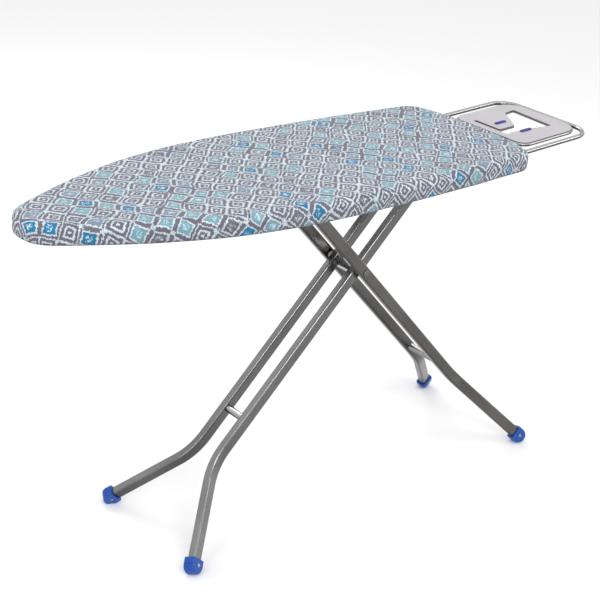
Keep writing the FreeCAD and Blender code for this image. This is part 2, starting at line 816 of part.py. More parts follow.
def rest_plate():
    """A pressed plate on the inner loop. Its triangular cut-out ends in a cross slot and is
    edged by a turned-down flange."""
    z = loop_tube_radius
    outline = rounded_rectangle((loop_start, -loop_half_width), (loop_end(), loop_half_width),
                                (loop_start_corner, loop_end_corner))
    half = plate_cut_half
    r = plate_corner
    cut = rounded_polygon((
        (plate_cut_end, half + plate_cut_skew, r), (plate_cut_end - plate_cut_step, half, r),
        (plate_cut_apex - far_tongue_taper, far_tongue_y, r), (plate_slot_end, far_tongue_y, r),
        (plate_slot_end, plate_slot_far_y, slot_corner),
        (plate_slot_start, plate_slot_far_y, slot_corner),
        (plate_slot_start, near_tongue_y - near_tongue_step, r),
        (plate_slot_end + plate_cut_skew, near_tongue_y, r),
        (plate_cut_apex, near_tongue_y - near_tongue_taper, 2 * r),
        (plate_cut_end - plate_end_skew, -half, r)))
    flange = Part.Face(cut.makeOffset2D(plate_thickness)).extrude(UP * -plate_flange_depth)
    plate = Part.Face(outline).extrude(UP * plate_thickness).fuse(flange)
    hole = Part.Face(cut).extrude(UP * (plate_thickness + plate_flange_depth))
    hole.translate(Vector(0, 0, -plate_flange_depth))
    plate = plate.cut(hole).removeSplitter()
    plate.translate(Vector(0, 0, z))
    return on_rest(plate)


def rest_strip(x, y):
    """A soft strip on the plate that keeps the iron from sliding. Its middle is at X and Y."""
    outline = rounded_rectangle((x - strip_length / 2, y - strip_width / 2),
                                (x + strip_length / 2, y + strip_width / 2),
                                (strip_width * 0.49, strip_width * 0.49))
    strip = Part.Face(outline).extrude(UP * strip_height)
    strip.translate(Vector(0, 0, loop_tube_radius + plate_thickness))
    return on_rest(strip)


def rest_support():
    """A cross bar between the outer loop's sides under the board, and two bars to the plate."""
    x = -rest_bar_inside
    reach = rest_half_width - rest_tube_radius
    bar = rod_along(loop_tube_radius, (x, -reach, 0), (x, reach, 0))
    arms = [rod_along(rest_arm_radius, (x, side * rest_arm_y, 0),
                      (loop_start, side * rest_arm_y, 0)) for _, side in SIDES]
    solid = bar.fuse(arms).removeSplitter()
    return on_rest(solid).cut(rest_outer_loop()).cut(rest_inner_loop())


def rest_welds():
    """Two weld runs that join the inner loop to the outer one along the end."""
    x = rest_reach - rest_tube_radius
    runs = []
    for _, side in SIDES:
        y = side * (loop_half_width - loop_end_corner)
        z = loop_tube_radius / 2
        run = rod_along(weld_radius, (x, y - weld_length / 2, z), (x, y + weld_length / 2, z))
        run = run.makeFillet(weld_edge_radius, [e for e in run.Edges if len(e.Vertexes) == 1])
        runs.append(on_rest(run).cut(rest_outer_loop()).cut(rest_inner_loop()))
    return group(runs)


def rest_clamp(side):
    """A block under the deck that holds one end of the outer loop."""
    x1 = tail_x - rest_inside + clamp_width + clamp_inset
    x0 = x1 - clamp_width
    y = side * rest_half_width
    z = board_height - rest_end_drop - rest_inside * math.sin(math.radians(rest_slope))
    block = box((x0, y - clamp_half_span, z - rest_tube_radius - clamp_wall),
                (x1, y + clamp_half_span, deck_bottom))
    return block.cut(rest_side_holes(0))


def rest_clamp_screws():
    """Two pan-head screws in each clamp block."""
    x = tail_x - rest_inside + clamp_width / 2 + clamp_inset
    z = board_height - rest_end_drop - rest_inside * math.sin(math.radians(rest_slope))
    low = z - rest_tube_radius - clamp_wall
    heads = []
    for _, side in SIDES:
        for step in (-1, 1):
            y = side * rest_half_width + step * (clamp_half_span - screw_head_radius
                                                 - screw_edge_gap)
            heads.append(rod_along(screw_head_radius, (x, y, low - screw_head_height), (x, y, low)))
    return group(heads)


# ---------------------------------------------------------------- all nodes
def board_nodes():
    save("fabric_cover", fabric_cover())
    save("foam_pad", foam_pad())
    save("deck_panel", deck_panel())
    save("cross_brace_front", cross_brace(front_brace_x))
    save("cross_brace_rear", cross_brace(rear_brace_x))
    save("leg_hinge_bracket", leg_hinge_bracket())
    save("bracket_rivets", bracket_rivets())
    save("guide_end_caps", guide_end_caps())
    for side_name, side in SIDES:
        save("rim_front_" + side_name, rim_piece(side, -board_length, rim_joint_x))
        save("rim_rear_" + side_name, rim_piece(side, rim_joint_x, board_length))
        save("slide_guide_" + side_name, slide_guide(side))
    for number, y in enumerate(hanger_places, 1):
        save("rod_hanger_" + str(number), rod_hanger(y))


def rest_nodes():
    save("rest_outer_loop", rest_outer_loop())
    save("rest_inner_loop", rest_inner_loop())
    save("rest_plate", rest_plate())
    save("rest_support", rest_support())
    save("rest_welds", rest_welds())
    save("rest_strip_far", rest_strip(*far_strip_place))
    save("rest_strip_near", rest_strip(*near_strip_place))
    for side_name, side in SIDES:
        save("rest_clamp_" + side_name, rest_clamp(side))
    save("rest_clamp_screws", rest_clamp_screws())


def leg_nodes():
    for name in LEGS:
        for side_name, side in SIDES:
            save(name + "_tube_" + side_name, leg_tube(name, side))
            save(name + "_foot_" + side_name, foot_cap(name, side))
        save(name + "_foot_rivets", group([foot_rivet(name, side) for _, side in SIDES]))
    save("inner_crossbar", crossbar("inner", inner_crossbar_below))
    save("outer_crossbar", crossbar("outer", outer_crossbar_below))
    save("pivot_cross_tube", pivot_cross_tube())
    save("hinge_axle", hinge_axle())
    save("hinge_nuts", hinge_nuts())
    save("pivot_washers", pivot_washers())
    save("slide_bar", slide_bar())
    save("ear_rivets", ear_rivets())
    for side_name, side in SIDES:
        save("pivot_rivet_" + side_name, pivot_rivet(side))
        save("slide_ear_" + side_name, slide_ear(side))
        save("slide_glide_" + side_name, slide_glide(side))


def latch_nodes():
    save("latch_rod", latch_rod())
    save("latch_rack", latch_rack())
    save("latch_paddle", latch_paddle())
    save("latch_spring", latch_spring())


os.makedirs("parts", exist_ok=True)
board_nodes()
rest_nodes()
leg_nodes()
latch_nodes()
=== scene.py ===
"""The ironing board's looks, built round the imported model. Lengths are in metres."""

import math
import random

import bmesh
import bpy
import numpy as np
from mathutils import Matrix, Vector


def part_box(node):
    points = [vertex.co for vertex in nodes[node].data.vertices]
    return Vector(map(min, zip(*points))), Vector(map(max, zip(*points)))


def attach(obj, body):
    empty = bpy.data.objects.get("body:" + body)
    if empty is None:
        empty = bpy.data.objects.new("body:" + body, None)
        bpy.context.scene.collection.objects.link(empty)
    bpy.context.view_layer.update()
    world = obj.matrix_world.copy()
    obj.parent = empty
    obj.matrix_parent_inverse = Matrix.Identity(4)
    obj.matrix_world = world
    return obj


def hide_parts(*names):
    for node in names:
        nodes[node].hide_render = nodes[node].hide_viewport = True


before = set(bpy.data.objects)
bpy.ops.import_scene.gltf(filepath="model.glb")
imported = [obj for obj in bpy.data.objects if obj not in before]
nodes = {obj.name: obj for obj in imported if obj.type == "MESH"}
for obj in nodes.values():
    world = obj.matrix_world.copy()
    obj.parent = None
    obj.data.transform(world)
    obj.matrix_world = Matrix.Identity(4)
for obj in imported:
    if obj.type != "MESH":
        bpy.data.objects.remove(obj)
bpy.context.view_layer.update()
MM = 0.001


# ---------------------------------------------------------------- places read from the frame
cover_low, cover_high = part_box("fabric_cover")
foam_low, foam_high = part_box("foam_pad")
board_middle_x = (cover_low.x + cover_high.x) / 2
board_length = cover_high.x - cover_low.x
board_half_width = (cover_high.y - cover_low.y) / 2


# ---------------------------------------------------------------- camera, floor and light
# Angles in degrees, lens and sensor in millimetres.
CAMERA_AZIMUTH = -42.34
CAMERA_ELEVATION = 24.97
CAMERA_ROLL = 5.22
CAMERA_DISTANCE = 3.082
CAMERA_LENS = 80.99
SENSOR_WIDTH = 36
CAMERA_REACH = 100
TARGET_FROM_BOARD_MIDDLE = 0.0972
TARGET_HEIGHT = 0.4975
WORLD_STRENGTH = 1.05
# How bright the world is by height, from the horizon at 0 to straight up at 1.
WORLD_STOPS = ((0.0, 0.62), (0.12, 0.62), (0.45, 0.80), (1.0, 1.0))
WORLD_BLUE = 1.01
FLOOR_SIZE = 400
FLOOR_GREY = 0.96
FLOOR_ROUGHNESS = 0.95
FLOOR_SPECULAR = 0.1
# Each light's name, power in watts, width and height, place, and the point it aims at.
LIGHTS = (("key_light", 34, (1.8, 0.5), (-1.3, -2.6, 2.6), (0, 0, 0.6)),
          ("side_strip", 16, (0.4, 1.8), (-3.0, -0.8, 1.5), (0, 0, 0.5)),
          ("fill_light", 14, (1.6, 0.5), (2.6, -2.2, 1.9), (0.2, 0, 0.5)),
          ("back_light", 26, (2.4, 0.6), (0.6, 2.8, 2.8), (0, 0, 0.6)))


def make_camera():
    azimuth = math.radians(CAMERA_AZIMUTH)
    elevation = math.radians(CAMERA_ELEVATION)
    roll = math.radians(CAMERA_ROLL)
    forward = Vector((-math.sin(azimuth) * math.cos(elevation),
                      math.cos(azimuth) * math.cos(elevation), -math.sin(elevation)))
    right = Vector((math.cos(azimuth), math.sin(azimuth), 0))
    up = right.cross(forward)
    rolled_right = right * math.cos(roll) + up * math.sin(roll)
    rolled_up = up * math.cos(roll) - right * math.sin(roll)
    target = Vector((board_middle_x + TARGET_FROM_BOARD_MIDDLE, 0, TARGET_HEIGHT))
    data = bpy.data.cameras.new("camera")
    data.lens = CAMERA_LENS
    data.sensor_width = SENSOR_WIDTH
    data.clip_end = CAMERA_REACH
    camera = bpy.data.objects.new("camera", data)
    bpy.context.scene.collection.objects.link(camera)
    axes = Matrix((rolled_right, rolled_up, -forward)).transposed()
    camera.matrix_world = Matrix.Translation(target - forward * CAMERA_DISTANCE) @ axes.to_4x4()
    bpy.context.scene.camera = camera


def make_light(name, energy, size, place, aim):
    data = bpy.data.lights.new(name, "AREA")
    data.energy = energy
    data.shape = "RECTANGLE"
    data.size, data.size_y = size
    light = bpy.data.objects.new(name, data)
    bpy.context.scene.collection.objects.link(light)
    light.location = place
    light.rotation_euler = (Vector(aim) - Vector(place)).to_track_quat("-Z", "Y").to_euler()


def fill_ramp(node, stops):
    """Give a ramp node its stops, each a position with a grey or a colour."""
    elements = node.color_ramp.elements
    while len(elements) < len(stops):
        elements.new(0.5)
    for element, (position, value) in zip(elements, stops):
        colour = value if isinstance(value, tuple) else (value, value, value)
        element.position = position
        element.color = (*colour, 1)


def make_world():
    """Soft light from above that falls off towards the horizon."""
    world = bpy.data.worlds.new("studio")
    bpy.context.scene.world = world
    world.use_nodes = True
    tree = world.node_tree
    coordinate = tree.nodes.new("ShaderNodeTexCoord")
    split = tree.nodes.new("ShaderNodeSeparateXYZ")
    ramp = tree.nodes.new("ShaderNodeValToRGB")
    fill_ramp(ramp, [(at, (grey, grey, grey * WORLD_BLUE)) for at, grey in WORLD_STOPS])
    tree.links.new(coordinate.outputs["Generated"], split.inputs[0])
    tree.links.new(split.outputs["Z"], ramp.inputs[0])
    tree.links.new(ramp.outputs[0], tree.nodes["Background"].inputs["Color"])
    tree.nodes["Background"].inputs["Strength"].default_value = WORLD_STRENGTH


def make_stage():
    bpy.ops.mesh.primitive_plane_add(size=FLOOR_SIZE, location=(0, 0, 0))
    floor = bpy.context.object
    floor.name = "floor"
    material = new_material("floor_paint")
    shader = material.node_tree.nodes["Principled BSDF"]
    shader.inputs["Base Color"].default_value = (FLOOR_GREY, FLOOR_GREY, FLOOR_GREY, 1)
    shader.inputs["Roughness"].default_value = FLOOR_ROUGHNESS
    shader.inputs["Specular IOR Level"].default_value = FLOOR_SPECULAR
    floor.data.materials.append(material)
    make_world()
    for light in LIGHTS:
        make_light(*light)
    bpy.context.scene.view_settings.view_transform = "Standard"


# ---------------------------------------------------------------- node helpers
class Graph:
    """Short calls for building one material's node tree."""

    def __init__(self, material):
        self.tree = material.node_tree
        self.shader = self.tree.nodes["Principled BSDF"]

    def put(self, socket, value):
        if isinstance(value, bpy.types.NodeSocket):
            self.tree.links.new(value, socket)
        else:
            socket.default_value = value

    def math(self, operation, a, b=None, c=None, clamp=False):
        node = self.tree.nodes.new("ShaderNodeMath")
        node.operation = operation
        node.use_clamp = clamp
        for socket, value in zip(node.inputs, (a, b, c)):
            if value is not None:
                self.put(socket, value)
        return node.outputs[0]

    def centred(self, value, reach):
        """A value from 0 to 1 as a shift of up to half of reach either way."""
        return self.math("MULTIPLY_ADD", value, reach, -reach / 2)

    def combine(self, x, y, z=0.0):
        node = self.tree.nodes.new("ShaderNodeCombineXYZ")
        for socket, value in zip(node.inputs, (x, y, z)):
            self.put(socket, value)
        return node.outputs[0]

    def stretch(self, x, y, x_scale, y_scale):
        return self.combine(self.math("MULTIPLY", x, x_scale), self.math("MULTIPLY", y, y_scale))

    def split(self, vector):
        node = self.tree.nodes.new("ShaderNodeSeparateXYZ")
        self.put(node.inputs[0], vector)
        return node.outputs

    def noise(self, vector, scale, detail=2.0, roughness=0.5, distortion=0.0):
        node = self.tree.nodes.new("ShaderNodeTexNoise")
        self.put(node.inputs["Vector"], vector)
        node.inputs["Scale"].default_value = scale
        node.inputs["Detail"].default_value = detail
        node.inputs["Roughness"].default_value = roughness
        node.inputs["Distortion"].default_value = distortion
        return node.outputs["Fac"]

    def random(self, vector):
        node = self.tree.nodes.new("ShaderNodeTexWhiteNoise")
        node.noise_dimensions = "3D"
        self.put(node.inputs["Vector"], vector)
        return node.outputs["Value"]

    def mix(self, factor, a, b):
        node = self.tree.nodes.new("ShaderNodeMix")
        node.data_type = "RGBA"
        self.put(node.inputs[0], factor)
        for socket, value in ((node.inputs[6], a), (node.inputs[7], b)):
            self.put(socket, (*value, 1) if isinstance(value, tuple) else value)
        return node.outputs[2]

    def multiply(self, a, b):
        node = self.tree.nodes.new("ShaderNodeMix")
        node.data_type = "RGBA"
        node.blend_type = "MULTIPLY"
        node.inputs[0].default_value = 1.0
        self.put(node.inputs[6], a)
        self.put(node.inputs[7], b)
        return node.outputs[2]

    def ramp(self, factor, stops):
        node = self.tree.nodes.new("ShaderNodeValToRGB")
        fill_ramp(node, stops)
        self.put(node.inputs[0], factor)
        return node.outputs[0]

    def scale_vector(self, vector, factors):
        node = self.tree.nodes.new("ShaderNodeVectorMath")
        node.operation = "MULTIPLY"
        self.put(node.inputs[0], vector)
        node.inputs[1].default_value = factors
        return node.outputs[0]

    def object_place(self):
        return self.tree.nodes.new("ShaderNodeTexCoord").outputs["Object"]

    def turn(self):
        """How far the face turns upwards: 0 faces down, 0.5 sideways, 1 up."""
        normal = self.tree.nodes.new("ShaderNodeNewGeometry").outputs["Normal"]
        return self.math("MULTIPLY_ADD", self.split(normal)[2], 0.5, 0.5)

    def uv_place(self, name):
        node = self.tree.nodes.new("ShaderNodeUVMap")
        node.uv_map = name
        return node.outputs[0]

    def bump(self, height, strength, distance):
        node = self.tree.nodes.new("ShaderNodeBump")
        node.inputs["Strength"].default_value = strength
        node.inputs["Distance"].default_value = distance
        self.put(node.inputs["Height"], height)
        self.tree.links.new(node.outputs[0], self.shader.inputs["Normal"])

    def set(self, **values):
        for name, value in values.items():
            socket = self.shader.inputs[name.replace("_", " ")]
            self.put(socket, (*value, 1) if isinstance(value, tuple) else value)


def new_material(name):
    material = bpy.data.materials.new(name)
    material.use_nodes = True
    return material


# ---------------------------------------------------------------- materials
MAUVE = (0.150, 0.128, 0.165)
DARK_MAUVE = (0.050, 0.042, 0.060)
PALE = (0.58, 0.69, 0.74)
AQUA = (0.18, 0.37, 0.43)
GREY_BLUE = (0.20, 0.27, 0.36)
BRIGHT_BLUE = (0.001, 0.185, 0.37)
# Sizes along the cloth in metres, and noise frequencies per metre.
DIAMOND = 0.058
WEAVE_PITCH = 0.0011
RAGGED_X, RAGGED_Y = 0.006, 0.010
DRIFT_X, DRIFT_Y = 0.026, 0.024
THREADS_ACROSS = 380.0
THREADS_ALONG = 60.0
DRIFT_SCALE = 13.0
# Shares of the diamonds, of their crossings, and of a diamond's half width.
RINGED_SHARE = 0.50
PLAIN_CROSSINGS = 0.42
RING_WOBBLE = 0.16
HEART_REACH = 0.32
FILLED_REACH = 0.57
PATCH_REACH = 0.37
# A diamond's colours from its middle outwards, ringed or filled, and the fills it may draw.
RING_STOPS = ((0.0, PALE), (0.12, PALE), (0.15, MAUVE), (0.38, MAUVE), (0.41, PALE),
              (0.56, PALE), (0.59, MAUVE), (0.86, MAUVE), (0.89, PALE), (1.0, PALE))
OUTER_STOPS = ((0.0, MAUVE), (0.60, MAUVE), (0.62, PALE), (0.76, PALE), (0.79, MAUVE),
               (1.0, MAUVE))
FILL_STOPS = ((0.0, GREY_BLUE), (0.16, GREY_BLUE), (0.17, AQUA), (0.60, AQUA), (0.61, MAUVE),
              (0.78, MAUVE), (0.79, BRIGHT_BLUE), (1.0, BRIGHT_BLUE))
# The cover's shade by the way a face turns in the world, from down to up. It stands in for
# the photo's light and isn't a property of the cloth.
COVER_SHADES = ((0.0, 0.30), (0.30, 0.50), (0.50, 0.80), (0.72, 1.0), (1.0, 1.0))


def printed_cotton():
    """Cotton with an ikat print: lattice of diamonds, each with ragged rings or a plain fill."""
    material = new_material("printed_cotton")
    g = Graph(material)
    place = g.uv_place("print")
    x, y, _ = g.split(place)
    # Ragged edges come from a shift across the threads, and a slower drift bends the rows.
    ragged_x = g.noise(g.stretch(x, y, THREADS_ALONG, THREADS_ACROSS), 1.0, 1.0)
    ragged_y = g.noise(g.stretch(x, y, THREADS_ACROSS, THREADS_ALONG), 1.0, 1.0)
    drift_x = g.noise(place, DRIFT_SCALE, 2.0)
    drift_y = g.noise(g.combine(y, x, 3.0), DRIFT_SCALE, 2.0)
    shift_x = g.math("ADD", g.centred(ragged_x, RAGGED_X), g.centred(drift_x, DRIFT_X))
    shift_y = g.math("ADD", g.centred(ragged_y, RAGGED_Y), g.centred(drift_y, DRIFT_Y))
    px = g.math("DIVIDE", g.math("ADD", x, shift_x), DIAMOND)
    py = g.math("DIVIDE", g.math("ADD", y, shift_y), DIAMOND)
    a = g.math("ADD", px, py)
    b = g.math("SUBTRACT", px, py)
    cell_a, cell_b = g.math("FLOOR", a), g.math("FLOOR", b)
    from_a = g.math("ABSOLUTE", g.math("SUBTRACT", g.math("FRACT", a), 0.5))
    from_b = g.math("ABSOLUTE", g.math("SUBTRACT", g.math("FRACT", b), 0.5))
    ring = g.math("MULTIPLY", g.math("MAXIMUM", from_a, from_b), 2.0)
    wobble = g.noise(place, 260.0, 1.0)
    ring = g.math("ADD", ring, g.centred(wobble, RING_WOBBLE))
    chance = g.random(g.combine(cell_a, cell_b, 1.0))
    kind = g.random(g.combine(cell_a, cell_b, 2.0))

    rings = g.ramp(ring, RING_STOPS)
    outer = g.ramp(ring, OUTER_STOPS)
    fill = g.ramp(chance, FILL_STOPS)
    squiggle = g.noise(g.combine(px, py), 7.0, 1.0, 0.5, 2.0)
    in_heart = g.math("LESS_THAN", ring, HEART_REACH)
    mark = g.math("MULTIPLY", in_heart, g.math("GREATER_THAN", squiggle, 0.53))
    heart = g.mix(mark, fill, PALE)
    filled = g.mix(g.math("GREATER_THAN", ring, FILLED_REACH), heart, outer)
    colour = g.mix(g.math("GREATER_THAN", kind, RINGED_SHARE), rings, filled)
    # Where the lattice lines cross, some crossings hold a pale patch with small marks.
    crossing = g.random(g.combine(g.math("ROUND", a), g.math("ROUND", b), 5.0))
    near = g.math("GREATER_THAN", g.math("MINIMUM", from_a, from_b), PATCH_REACH)
    patch = g.math("MULTIPLY", near, g.math("GREATER_THAN", crossing, PLAIN_CROSSINGS))
    speck = g.math("GREATER_THAN", g.noise(place, 330.0, 1.0, 0.5, 1.0), 0.58)
    patch = g.math("MULTIPLY", patch, g.math("SUBTRACT", 1.0, speck))
    colour = g.mix(patch, colour, PALE)
    # Dye pools in places, and thread-scale fading leaves no colour quite flat.
    pool = g.noise(place, 46.0, 3.0, 0.6)
    pooled = g.math("MULTIPLY_ADD", pool, 3.0, -1.5, clamp=True)
    colour = g.mix(g.math("MULTIPLY", pooled, 0.45), colour, DARK_MAUVE)
    fade = g.noise(g.stretch(x, y, 900.0, 260.0), 1.0, 2.0)
    faded = g.mix(g.math("MULTIPLY_ADD", fade, 0.24, -0.06, clamp=True), colour, GREY_BLUE)
    shaded = g.multiply(faded, g.ramp(g.turn(), COVER_SHADES))
    g.set(Base_Color=shaded, Roughness=0.86, Sheen_Weight=0.15, Sheen_Roughness=0.5,
          Specular_IOR_Level=0.2)
    weave_x = g.math("SINE", g.math("MULTIPLY", x, 2 * math.pi / WEAVE_PITCH))
    weave_y = g.math("SINE", g.math("MULTIPLY", y, 2 * math.pi / WEAVE_PITCH))
    g.bump(g.math("MULTIPLY", weave_x, weave_y), 0.25, 0.0003)
    return material


# How bright polished steel is made by the way its face turns in the world, from down to up.
# It stands in for the photo's light and isn't a property of the metal.
TURN_SHADES = ((0.0, 0.20), (0.40, 0.36), (0.58, 0.48), (0.80, 0.86), (1.0, 1.0))
# The rest's round rods: painted shade below and aside, and a painted highlight on faces turned
# nearly up.
ROD_SHADES = ((0.0, 0.04), (0.42, 0.10), (0.62, 0.45), (0.86, 1.0), (1.0, 0.8))


def metal(name, colour, roughness, smear, scratch=0.12, depth=0.14, shades=TURN_SHADES):
    """Polished or satin metal: uneven polish, fine scratches, painted shade on sides and
    undersides.
    """
    material = new_material(name)
    g = Graph(material)
    place = g.object_place()
    cloud = g.noise(place, 5.0, 3.0)
    sharp = g.math("MULTIPLY_ADD", cloud, 2.2, -0.6, clamp=True)
    streak = g.noise(g.scale_vector(place, (1.0, 1.0, 0.12)), 240.0, 2.0)
    low = tuple(c * (1 - depth) for c in colour)
    polish = g.mix(sharp, low, colour)
    # The turn ramp darkens the base colour on faces turned sideways and down: painted shade.
    g.set(Metallic=1.0, Base_Color=g.multiply(polish, g.ramp(g.turn(), shades)),
          Roughness=g.math("MULTIPLY_ADD", sharp, smear, roughness - smear / 2))
    g.bump(streak, scratch, 0.0004)
    return material


PLATE_TOP_LOW = (0.56, 0.54, 0.56)
PLATE_TOP_HIGH = (0.64, 0.61, 0.64)
PLATE_EDGE_SHADE = (0.16, 0.155, 0.16)
FACES_UP = 0.7


def satin_plate():
    """Satin plate: pale on the faces that look up, painted shade on turned-down edges and below.
    """
    material = new_material("satin_plate")
    g = Graph(material)
    place = g.object_place()
    normal = g.tree.nodes.new("ShaderNodeNewGeometry").outputs["True Normal"]
    upward = g.math("GREATER_THAN", g.split(normal)[2], FACES_UP)
    cloud = g.noise(place, 14.0, 3.0)
    top = g.mix(cloud, PLATE_TOP_LOW, PLATE_TOP_HIGH)
    # Faces that don't look up take the dark colour as painted shade.
    g.set(Metallic=g.math("MULTIPLY_ADD", upward, -0.35, 0.9),
          Base_Color=g.mix(upward, PLATE_EDGE_SHADE, top),
          Roughness=g.math("MULTIPLY_ADD", cloud, 0.1, 0.42))
    g.bump(g.noise(place, 600.0, 2.0), 0.08, 0.0003)
    return material


def paint(name, colour, roughness=0.45):
    """Powder coat with a fine orange-peel surface."""
    material = new_material(name)
    g = Graph(material)
    place = g.object_place()
    peel = g.noise(place, 900.0, 2.0)
    patch = g.noise(place, 12.0, 3.0)
    g.set(Base_Color=g.mix(patch, tuple(c * 0.9 for c in colour), colour), Metallic=0.35,
          Roughness=g.math("MULTIPLY_ADD", patch, 0.1, roughness - 0.05))
    g.bump(peel, 0.12, 0.0003)
    return material


def plastic(name, colour, roughness=0.32, grain=500.0):
    """Moulded plastic with a faint grain and worn, duller patches."""
    material = new_material(name)
    g = Graph(material)
    place = g.object_place()
    patch = g.noise(place, 30.0, 3.0)
    g.set(Base_Color=g.mix(patch, tuple(c * 0.8 for c in colour), colour),
          Roughness=g.math("MULTIPLY_ADD", patch, 0.16, roughness - 0.08))
    g.bump(g.noise(place, grain, 2.0), 0.1, 0.0003)
    return material


STRAND_PITCH_X = 0.020
STRAND_PITCH_Y = 0.009
STRAND_HALF = 0.19


def expanded_mesh():
    """A diamond mesh drawn on the plain deck sheet: painted strands, the felt between in painted
    shade.
    """
    material = new_material("expanded_mesh")
    g = Graph(material)
    x, y, _ = g.split(g.object_place())
    px, py = g.math("DIVIDE", x, STRAND_PITCH_X), g.math("DIVIDE", y, STRAND_PITCH_Y)
    from_line = [g.math("ABSOLUTE", g.math("SUBTRACT", g.math("FRACT", v), 0.5))
                 for v in (g.math("ADD", px, py), g.math("SUBTRACT", px, py))]
    edge = g.math("SUBTRACT", 0.5, g.math("MAXIMUM", *from_line))
    strand = g.math("LESS_THAN", edge, STRAND_HALF)
    coat = g.mix(g.noise(g.object_place(), 14.0, 3.0), (0.62, 0.63, 0.65), (0.72, 0.73, 0.75))
    # Between the strands the felt is drawn darker than its own colour: painted shade in the
    # holes.
    g.set(Base_Color=g.mix(strand, (0.30, 0.295, 0.28), coat),
          Metallic=g.math("MULTIPLY", strand, 0.2),
          Roughness=g.math("MULTIPLY_ADD", strand, -0.5, 0.95))
    g.bump(g.math("SUBTRACT", STRAND_HALF, edge, clamp=True), 0.8, 0.004)
    return material


def felt(name, colour):
    """Pressed felt: short fibres in every direction."""
    material = new_material(name)
    g = Graph(material)
    place = g.object_place()
    fibres = g.noise(place, 700.0, 5.0, 0.7, 3.0)
    g.set(Base_Color=g.mix(fibres, tuple(c * 0.72 for c in colour), colour), Roughness=0.95,
          Sheen_Weight=0.3)
    g.bump(fibres, 0.5, 0.0008)
    return material


# ---------------------------------------------------------------- mesh helpers
def mesh_object(name, vertices, faces):
    """A smooth-shaded mesh, linked into the scene."""
    mesh = bpy.data.meshes.new(name)
    mesh.from_pydata([tuple(v) for v in vertices], [], faces)
    mesh.update()
    obj = bpy.data.objects.new(name, mesh)
    bpy.context.scene.collection.objects.link(obj)
    mesh.polygons.foreach_set("use_smooth", [True] * len(mesh.polygons))
    return obj


# The half outline's poles, as shares of the board's length and half width.
OUTLINE_SHARES = ((0, 0), (0, 0.2), (0.042, 0.33), (0.142, 0.6), (0.292, 0.9), (0.475, 1.012),
                  (0.667, 0.994), (0.833, 0.965), (0.936, 0.905), (1, 0.91), (1, 0))
OUTLINE_SAMPLES = 1200


def spline_point(poles, t):
    """A point on the clamped uniform cubic spline of these poles, for t from 0 to 1."""
    degree = 3
    spans = len(poles) - degree
    knots = [0] * degree + list(range(spans + 1)) + [spans] * degree
    u = t * spans
    k = min(int(u), spans - 1) + degree
    points = [poles[k - degree + i] for i in range(degree + 1)]
    for level in range(1, degree + 1):
        for i in range(degree, level - 1, -1):
            start = knots[k - degree + i]
            width = knots[i + 1 + k - level] - start
            share = (u - start) / width
            points[i] = points[i - 1] * (1 - share) + points[i] * share
    return points[degree]


def board_outline(count):
    """count points round the board, evenly spaced, and the outward normal at each."""
    poles = [np.array((cover_low.x + board_length * u, board_half_width * w))
             for u, w in OUTLINE_SHARES]
    fine = [spline_point(poles, t) for t in np.linspace(0, 1, OUTLINE_SAMPLES)]
    loop = np.array(fine + [p * (1, -1) for p in fine[-2:0:-1]])
    closed = np.vstack([loop, loop[:1]])
    run = np.concatenate([[0], np.cumsum(np.linalg.norm(np.diff(closed, axis=0), axis=1))])
    at = np.linspace(0, run[-1], count, endpoint=False)
    points = np.stack([np.interp(at, run, closed[:, i]) for i in range(2)], axis=1)
    tangent = np.roll(points, -1, axis=0) - np.roll(points, 1, axis=0)
    tangent /= np.linalg.norm(tangent, axis=1, keepdims=True)
    normal = np.stack([-tangent[:, 1], tangent[:, 0]], axis=1)
    return points, normal


FOAM_UP_RADIUS = 14 * MM
FOAM_DOWN_RADIUS = 3 * MM
FOAM_UNEVEN = 0.4 * MM


def make_foam():
    """The felt-faced foam under the cover: one closed pad, rounded over its top edge."""
    count, steps = 360, 6
    points, normal = board_outline(count)
    inset = board_half_width - (foam_high.y - foam_low.y) / 2
    low, high = foam_low.z, foam_high.z
    profile = [(FOAM_DOWN_RADIUS, low), (0.0, low + FOAM_DOWN_RADIUS),
               (0.0, high - FOAM_UP_RADIUS)]
    for i in range(1, steps + 1):
        angle = math.radians(90 * i / steps)
        profile.append((FOAM_UP_RADIUS * (1 - math.cos(angle)),
                        high - FOAM_UP_RADIUS * (1 - math.sin(angle))))
    turn = np.arange(count) / count * 2 * math.pi
    soft = FOAM_UNEVEN * (np.sin(23 * turn) + np.sin(41 * turn + 2) + 2) / 2
    rings = [(points - normal * (inset + d + soft[:, None] * 0.5), z) for d, z in profile]
    spine = spine_points(rings[0][0])
    for share in (0.3, 0.65, 1.0):
        rings.append((rings[len(profile) - 1][0] * (1 - share) + spine * share, high))
        rings.insert(0, (rings[0][0] * 0.5 + spine * 0.5 if share < 1 else spine, low))
    vertices = [(x, y, z) for ring, z in rings for x, y in ring]
    foam = mesh_object("foam", vertices, ring_faces(len(rings), count))
    weld_and_turn(foam)
    foam.data.materials.append(felt("foam_felt", (0.80, 0.79, 0.74)))
    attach(foam, "board")
    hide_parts("foam_pad")
    return foam


def ring_faces(rings, count):
    """Quads between each ring of count points and the next."""
    faces = []
    for r in range(rings - 1):
        for i in range(count):
            j = (i + 1) % count
            faces.append((r * count + i, r * count + j, (r + 1) * count + j, (r + 1) * count + i))
    return faces


def spine_points(ring):
    """For each point of a ring, the place on the board's middle line that it shrinks onto."""
    room = board_half_width * 0.5
    x = np.clip(ring[:, 0], cover_low.x + room, cover_high.x - room)
    return np.stack([x, ring[:, 1] * 0.0], axis=1)


def weld_and_turn(obj):
    """Join points that coincide and turn every face outwards."""
    work = bmesh.new()
    work.from_mesh(obj.data)
    bmesh.ops.remove_doubles(work, verts=work.verts, dist=0.02 * MM)
    bmesh.ops.recalc_face_normals(work, faces=work.faces)
    work.to_mesh(obj.data)
    work.free()


